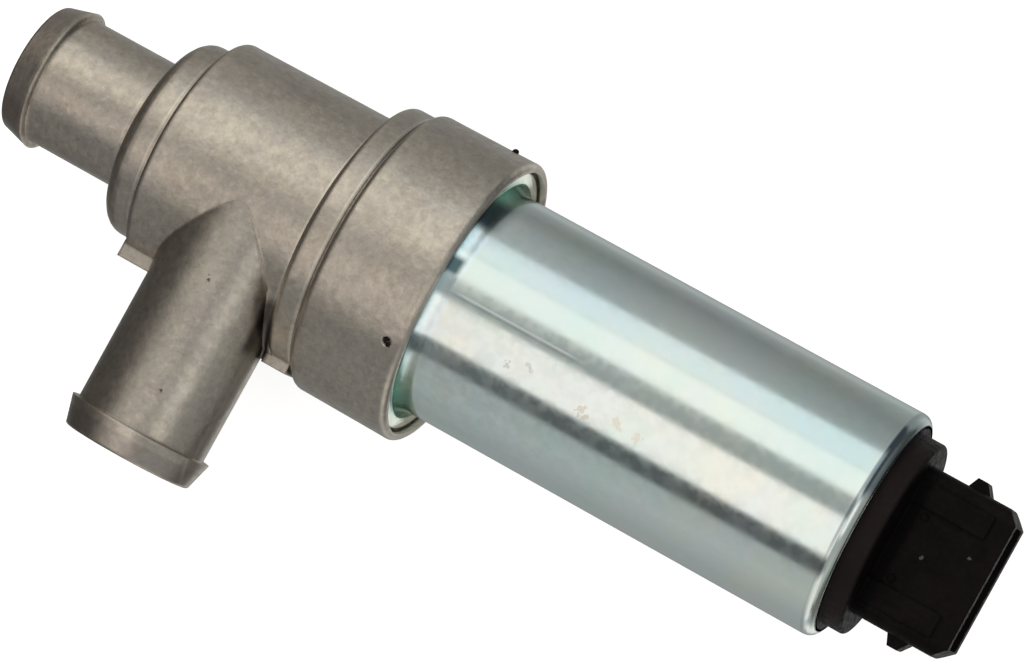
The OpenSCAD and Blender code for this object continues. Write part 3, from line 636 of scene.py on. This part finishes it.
def dress_nodes():
    """Each CAD node takes the finish of its own slot in the record."""
    slots = {part["node"]: part["material_slot"] for part in frame["record"]["subparts"]}
    for name, piece in frame["nodes"].items():
        piece.data.materials.clear()
        piece.data.materials.append(FINISHES[slots[name]])


dress_nodes()


# Cast fillets and small marks that stand on the casting


def solid(name, points, faces, finish):
    """A closed, smooth piece in that finish, riding on the valve's body."""
    mesh = bpy.data.meshes.new(name)
    mesh.from_pydata(points, [], faces)
    mesh.polygons.foreach_set("use_smooth", [True] * len(mesh.polygons))
    mesh.materials.append(FINISHES[finish])
    piece = bpy.data.objects.new(name, mesh)
    bpy.context.scene.collection.objects.link(piece)
    check = bmesh.new()
    check.from_mesh(mesh)
    bmesh.ops.recalc_face_normals(check, faces=check.faces)
    check.to_mesh(mesh)
    check.free()
    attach(piece, "valve")


def looped(sections):
    """Points and faces of a closed tube through closed sections, back to the first one."""
    count = len(sections[0])
    points = [point for section in sections for point in section]
    faces = []
    for i in range(len(sections)):
        here, there = i * count, (i + 1) % len(sections) * count
        for j in range(count):
            k = (j + 1) % count
            faces.append((here + j, here + k, there + k, there + j))
    return points, faces


def corner_fillet(name, face_x, radius, size, turns=144, steps=7):
    """A hollow fillet in the corner between a drum and a face that looks towards the inline nozzle."""
    inside = 0.3 * MM
    profile = []
    for i in range(steps + 1):
        turn = math.pi / 2 * i / steps
        profile.append((face_x - size + size * math.sin(turn), radius + size - size * math.cos(turn)))
    profile.append((face_x + inside, radius + size))
    profile.append((face_x + inside, radius - inside))
    profile.append((face_x - size, radius - inside))
    sections = []
    for i in range(turns):
        turn = 2 * math.pi * i / turns
        sections.append([(x, r * math.sin(turn), r * math.cos(turn)) for x, r in profile])
    solid(name, *looped(sections), "cast_fillet")


def chamber_side(z):
    """How far out the chamber reaches at that height, with its parting ledge."""
    round_side = math.sqrt(max(CHAMBER_R ** 2 - z * z, 0.0))
    ledge = CHAMBER_R + LEDGE_Y
    if 0 <= z <= SIDE_LIFT:
        return ledge
    off = (z - SIDE_LIFT) if z > SIDE_LIFT else -z
    share = max(0.0, 1 - off / (1.8 * MM))
    share = share * share * (3 - 2 * share)
    return round_side + (ledge - round_side) * share


def saddle_fillet(turns=144, steps=8):
    """The hollow fillet at the root of the side nozzle, as a ball rolled round it leaves it.

    The ball is largest on the upper side that looks to the collar, where the root is softest.
    """
    inside = 0.35 * MM
    least, softer = 0.35 * MM, 1.1 * MM
    softest_at, spread = 68, 28
    sections = []
    for i in range(turns):
        beta = 2 * math.pi * i / turns
        off = (math.degrees(beta) - softest_at + 180) % 360 - 180
        size = least + softer * math.exp(-((off / spread) ** 2))
        x = SIDE_X + (NOZZLE_R + size) * math.cos(beta)
        z = SIDE_LIFT + (NOZZLE_R + size) * math.sin(beta)
        full = CHAMBER_R + size
        foot = z * CHAMBER_R / full
        extra = chamber_side(foot) - math.sqrt(max(CHAMBER_R ** 2 - foot * foot, 0.0))
        y = -math.sqrt(max(full * full - z * z, 0.0))
        to_chamber = Vector((0, -y, -z)).normalized()
        to_nozzle = Vector((-math.cos(beta), 0, -math.sin(beta)))
        middle = Vector((x, y - extra, z))
        apart = to_nozzle.angle(to_chamber)
        section = []
        for j in range(steps + 1):
            t = j / steps
            if apart > 1e-4:
                way = to_nozzle * math.sin((1 - t) * apart) + to_chamber * math.sin(t * apart)
                way /= math.sin(apart)
            else:
                way = to_nozzle
            section.append(middle + way * size)
        section.append(section[-1] + to_chamber * inside)
        corner = (to_nozzle + to_chamber) / (1 + math.cos(apart)) * size
        section.append(middle + corner + (to_nozzle + to_chamber).normalized() * inside)
        section.append(section[0] + to_nozzle * inside)
        sections.append([tuple(p) for p in section])
    solid("saddle_fillet", *looped(sections), "cast_fillet")


def nozzle_web(levels=16, steps=6):
    """The web of metal that closes the narrow slot between the side nozzle and the step."""
    low_z, high_z = -2.0 * MM, 15.5 * MM
    sections = []
    for i in range(levels + 1):
        z = low_z + (high_z - low_z) * i / levels
        drop = z - SIDE_LIFT
        nozzle_x = SIDE_X + math.sqrt(max(NOZZLE_R ** 2 - drop * drop, 0.0))
        gap = STEP_X - nozzle_x
        outer = STEP_R + LEDGE_Y if 0 <= z <= SIDE_LIFT else math.sqrt(STEP_R ** 2 - z * z)
        inner = math.sqrt(max(CHAMBER_R ** 2 - z * z, 0.0)) - 0.5 * MM
        share = max(0.0, 1 - max(0.0, gap - 0.6 * MM) / (2.2 * MM))
        top = inner + (outer - inner) * share
        dip = min(gap / 4, 0.25 * MM)
        section = [(nozzle_x - 0.3 * MM, -inner, z), (nozzle_x - 0.3 * MM, -top, z)]
        for j in range(steps + 1):
            t = j / steps
            sag = dip * math.sin(math.pi * t)
            section.append((nozzle_x + gap * t, -(top - sag), z))
        section.append((STEP_X + 1.0 * MM, -top, z))
        section.append((STEP_X + 1.0 * MM, -inner, z))
        sections.append(section)
    points, faces = looped(sections)
    count = len(sections[0])
    faces = faces[:-count]
    faces.append(tuple(range(count)))
    faces.append(tuple(range(len(points) - count, len(points))))
    solid("nozzle_web", points, faces, "cast_fillet")


def rim_slot_shade(turns=120):
    """A grey-brown ring that fills the slot between the can's flange and the collar's rim, painted in
    the tone of the slot's shade.
    """
    can_low, can_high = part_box("solenoid_can")
    flange_r = can_high.y
    outer = flange_r + 0.62 * MM
    dice = random.Random(11)
    sections = []
    for i in range(turns):
        turn = 2 * math.pi * i / turns
        top = FLANGE_FACE - (0.02 + 0.1 * dice.random()) * MM
        ring = [
            (can_low.x + 0.1 * MM, flange_r - 0.12 * MM),
            (can_low.x + 0.1 * MM, outer),
            (top, outer),
            (top - 0.06 * MM, (flange_r + outer) / 2),
            (top, flange_r - 0.12 * MM),
        ]
        sections.append([(x, r * math.sin(turn), r * math.cos(turn)) for x, r in ring])
    solid("rim_slot_shade", *looped(sections), "dried_dirt")


def crumb(name, place_mm, sizes_mm, seed, finish):
    """A small ragged lump lying on the surface round the main axis."""
    dice = random.Random(seed)
    middle = Vector([v * MM for v in place_mm])
    out = Vector((0, middle.y, middle.z)).normalized()
    along = Vector((1, 0, 0))
    across = out.cross(along)
    length, width, height = (v * MM for v in sizes_mm)
    rings, turns = 7, 14
    waves = [1 + dice.uniform(-0.42, 0.42) for _ in range(turns)]
    points = [tuple(middle - out * height)]
    for i in range(1, rings):
        fall = math.pi * i / rings
        for j in range(turns):
            turn = 2 * math.pi * j / turns
            reach = math.sin(fall) * waves[j] * (1 + dice.uniform(-0.08, 0.08))
            point = middle + along * (length * reach * math.cos(turn))
            point += across * (width * reach * math.sin(turn))
            points.append(tuple(point - out * height * math.cos(fall)))
    points.append(tuple(middle + out * height))
    faces = []
    for j in range(turns):
        k = (j + 1) % turns
        faces.append((0, 1 + k, 1 + j))
        for i in range(rings - 2):
            here, there = 1 + i * turns, 1 + (i + 1) * turns
            faces.append((here + j, here + k, there + k, there + j))
        last = 1 + (rings - 2) * turns
        faces.append((last + j, last + k, len(points) - 1))
    solid(name, points, faces, finish)


def closing_spring():
    """The return spring, as a baked copy of the CAD spring's mesh.

    It stands for the CAD's spring, which keeps its length.
    """
    source = frame["nodes"]["return_spring"]
    piece = bpy.data.objects.new("return_spring_coils", source.data.copy())
    bpy.context.scene.collection.objects.link(piece)
    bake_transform(piece)
    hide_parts("return_spring")


closing_spring()
corner_fillet("step_fillet", STEP_X, CHAMBER_R + 0.05 * MM, 0.8 * MM)
corner_fillet("chamber_fillet", CHAMBER_X, NECK_R, 0.5 * MM)
corner_fillet("neck_fillet", NECK_X, NOZZLE_R, 0.35 * MM)
saddle_fillet()
nozzle_web()
# Dark crumbs in the stake pit: dirt, and painted shade of the pit
crumb("stake_dirt_and_shade", (-36.6, -9.6, 20.06), (0.5, 0.36, 0.12), 3, "black_plastic")
crumb("stake_dirt_below", (-36.15, -10.25, 19.78), (0.36, 0.45, 0.12), 8, "black_plastic")
crumb("rim_burr", (-38.0, 22.2, 2.0), (0.4, 0.55, 0.5), 5, "black_plastic")
# A grey-brown ring as painted shade in the slot at the collar's rim
rim_slot_shade()


# Studio


# Border between what the casting mirrors of the studio and what the can mirrors
CAST_SIDE = -0.268
# Angles round the main axis from +Z to +Y, reach along X, softness of the ends, colour
SOFT_BOXES = {
    "cast_far_edge": ((100, 150), (-0.85, CAST_SIDE), (8, 0.03), (0.34, 0.335, 0.325)),
    "cast_far_side": ((64, 104), (-0.85, CAST_SIDE), (5, 0.03), (0.54, 0.53, 0.51)),
    "cast_low_side": ((-150, -63), (-0.85, CAST_SIDE), (5, 0.03), (0.14, 0.13, 0.13)),
    "cast_lower_box": ((-44, -9), (-0.62, CAST_SIDE), (5, 0.03), (0.63, 0.605, 0.57)),
    "cast_upper_box": ((7, 60), (-0.80, CAST_SIDE), (5, 0.03), (1.20, 1.155, 1.06)),
    "dark_gap": ((-64, -46), (CAST_SIDE, 0.5), (3, 0.03), (0.09, 0.095, 0.1)),
    "lower_box": ((-44, -4), (CAST_SIDE, 0.25), (2, 0.03), (1.06, 1.0, 0.97)),
    "upper_blue_box": ((43, 68), (CAST_SIDE, 0.25), (3, 0.03), (0.83, 0.90, 0.94)),
    "upper_box": ((17, 43), (CAST_SIDE, 0.25), (3, 0.03), (1.0, 1.02, 1.0)),
    "slate_side": ((73, 112), (-0.12, 0.5), (4, 0.05), (0.10, 0.115, 0.13)),
    "far_edge_light": ((114, 160), (-0.12, 0.5), (5, 0.05), (0.55, 0.58, 0.57)),
    "slate_end": ((25, 110), (0.28, 0.62), (5, 0.05), (0.12, 0.135, 0.15)),
    "bend_lower": ((-64, -24), (0.28, 0.42), (4, 0.03), (0.25, 0.26, 0.27)),
    "bend_middle": ((-22, 18), (0.27, 0.45), (4, 0.03), (0.32, 0.33, 0.34)),
    "end_box": ((-23, 18), (0.50, 0.82), (6, 0.05), (0.98, 0.98, 0.96)),
    "low_side": ((-130, -68), (0.02, 0.60), (6, 0.08), (0.80, 0.80, 0.79)),
}
# Grey of the dome: angle round the main axis from +Z to +Y, level
DOME_LEVELS = [
    (-180, 0.30), (-130, 0.35), (-90, 0.46), (-66, 0.43), (0, 0.345), (14, 0.38), (73, 0.40),
    (96, 0.31), (120, 0.22), (138, 0.31), (150, 0.44), (180, 0.30),
]
DOME_TINT = (0.95, 1.005, 1.01)


def studio_world():
    """A grey dome with soft boxes beside the camera, placed by direction.

    The bright boxes and the dark gap run along the main axis, as their images on the can do.
    The camera itself sees plain white beyond the floor.
    """
    world = bpy.data.worlds.new("studio_dome")
    bpy.context.scene.world = world
    world.use_nodes = True
    tree = world.node_tree
    tree.nodes.clear()
    output = tree.nodes.new("ShaderNodeOutputWorld")
    background = tree.nodes.new("ShaderNodeBackground")
    link(tree, background.outputs[0], output.inputs["Surface"])
    x, y, z = split(tree, tree.nodes.new("ShaderNodeTexCoord").outputs["Generated"])
    angle = maths(tree, "ARCTAN2", y, z)
    share = place(tree, "ShaderNodeMapRange")
    link(tree, angle, share.inputs["Value"])
    share.inputs["From Min"].default_value = -math.pi
    share.inputs["From Max"].default_value = math.pi
    dome = tree.nodes.new("ShaderNodeValToRGB")
    link(tree, share.outputs["Result"], dome.inputs["Fac"])
    stops = dome.color_ramp.elements
    while len(stops) < len(DOME_LEVELS):
        stops.new(0.5)
    for stop, (degrees, level) in zip(stops, DOME_LEVELS):
        stop.position = (degrees + 180) / 360
        stop.color = (*(level * part for part in DOME_TINT), 1)
    light = dome.outputs["Color"]
    light = tinted(tree, light, ramp(tree, x, 0.0, 1.0, 0.82, 1.0), (0.31, 0.31, 0.31))
    for angles, (left, right), (turn_soft, reach_soft), colour in SOFT_BOXES.values():
        start, end = (math.radians(degrees) for degrees in angles)
        across = window(tree, angle, start, end, math.radians(turn_soft))
        along = window(tree, x, left, right, reach_soft)
        light = tinted(tree, light, product(tree, across, along), colour)

    # The white ground below the can's plug end, its dark side and the dark left end of the studio
    below = ramp(tree, z, 1.0, 0.0, -0.85, -0.6)
    beyond = window(tree, x, 0.08, 0.32, 0.08)
    light = tinted(tree, light, product(tree, below, beyond), (0.85, 0.85, 0.83))
    under = ramp(tree, z, 1.0, 0.0, -0.45, -0.2)
    right_end = ramp(tree, x, 0.0, 1.0, 0.40, 0.52)
    light = tinted(tree, light, product(tree, under, right_end), (0.14, 0.137, 0.133))
    light = tinted(tree, light, ramp(tree, x, 1.0, 0.0, -0.86, -0.40), (0.08, 0.078, 0.076))
    seen = tree.nodes.new("ShaderNodeLightPath").outputs["Is Camera Ray"]
    link(tree, tinted(tree, light, seen, (1, 1, 1)), background.inputs["Color"])


def floor():
    """A plain white floor under the valve, which the valve's metal doesn't mirror."""
    mesh = bpy.data.meshes.new("floor")
    half = FLOOR_SIZE / 2
    corners = [(-half, -half, 0), (half, -half, 0), (half, half, 0), (-half, half, 0)]
    mesh.from_pydata(corners, [], [(0, 1, 2, 3)])
    plane = bpy.data.objects.new("floor", mesh)
    plane.location.z = cad_low.z
    bpy.context.scene.collection.objects.link(plane)
    plane.visible_glossy = False
    material, tree, shader = new_material("floor_white")
    shader.inputs["Base Color"].default_value = (0.95, 0.95, 0.95, 1)
    shader.inputs["Roughness"].default_value = 0.9
    shader.inputs["Emission Color"].default_value = (1, 1, 1, 1)
    rays = tree.nodes.new("ShaderNodeLightPath").outputs
    mirrored = maths(tree, "MAXIMUM", rays["Is Glossy Ray"], rays["Is Transmission Ray"])
    shown = maths(tree, "MAXIMUM", rays["Is Camera Ray"], mirrored)
    link(tree, product(tree, shown, FLOOR_GLOW), shader.inputs["Emission Strength"])
    mesh.materials.append(material)


def camera():
    """The photograph's camera: nearly overhead, tilted to the plug's end and rolled."""
    along = Vector((math.cos(CAMERA_TILT), 0, -math.sin(CAMERA_TILT)))
    back = Vector((math.sin(CAMERA_TILT), 0, math.cos(CAMERA_TILT)))
    side = Vector((0, 1, 0))
    right = math.cos(IMAGE_ROLL) * along + math.sin(IMAGE_ROLL) * side
    up = math.cos(IMAGE_ROLL) * side - math.sin(IMAGE_ROLL) * along
    data = bpy.data.cameras.new("camera")
    data.sensor_width = SENSOR_MM
    data.lens = FOCAL_PIXELS * SENSOR_MM / IMAGE_W
    data.clip_start = 0.01
    data.clip_end = 20
    view = bpy.data.objects.new("camera", data)
    bpy.context.scene.collection.objects.link(view)
    turn = Matrix((right, up, back)).transposed().to_4x4()
    view.matrix_world = Matrix.Translation(CAMERA_AIM + CAMERA_DISTANCE * back) @ turn
    bpy.context.scene.camera = view


studio_world()
floor()
camera()
bpy.context.scene.view_settings.view_transform = "Standard"
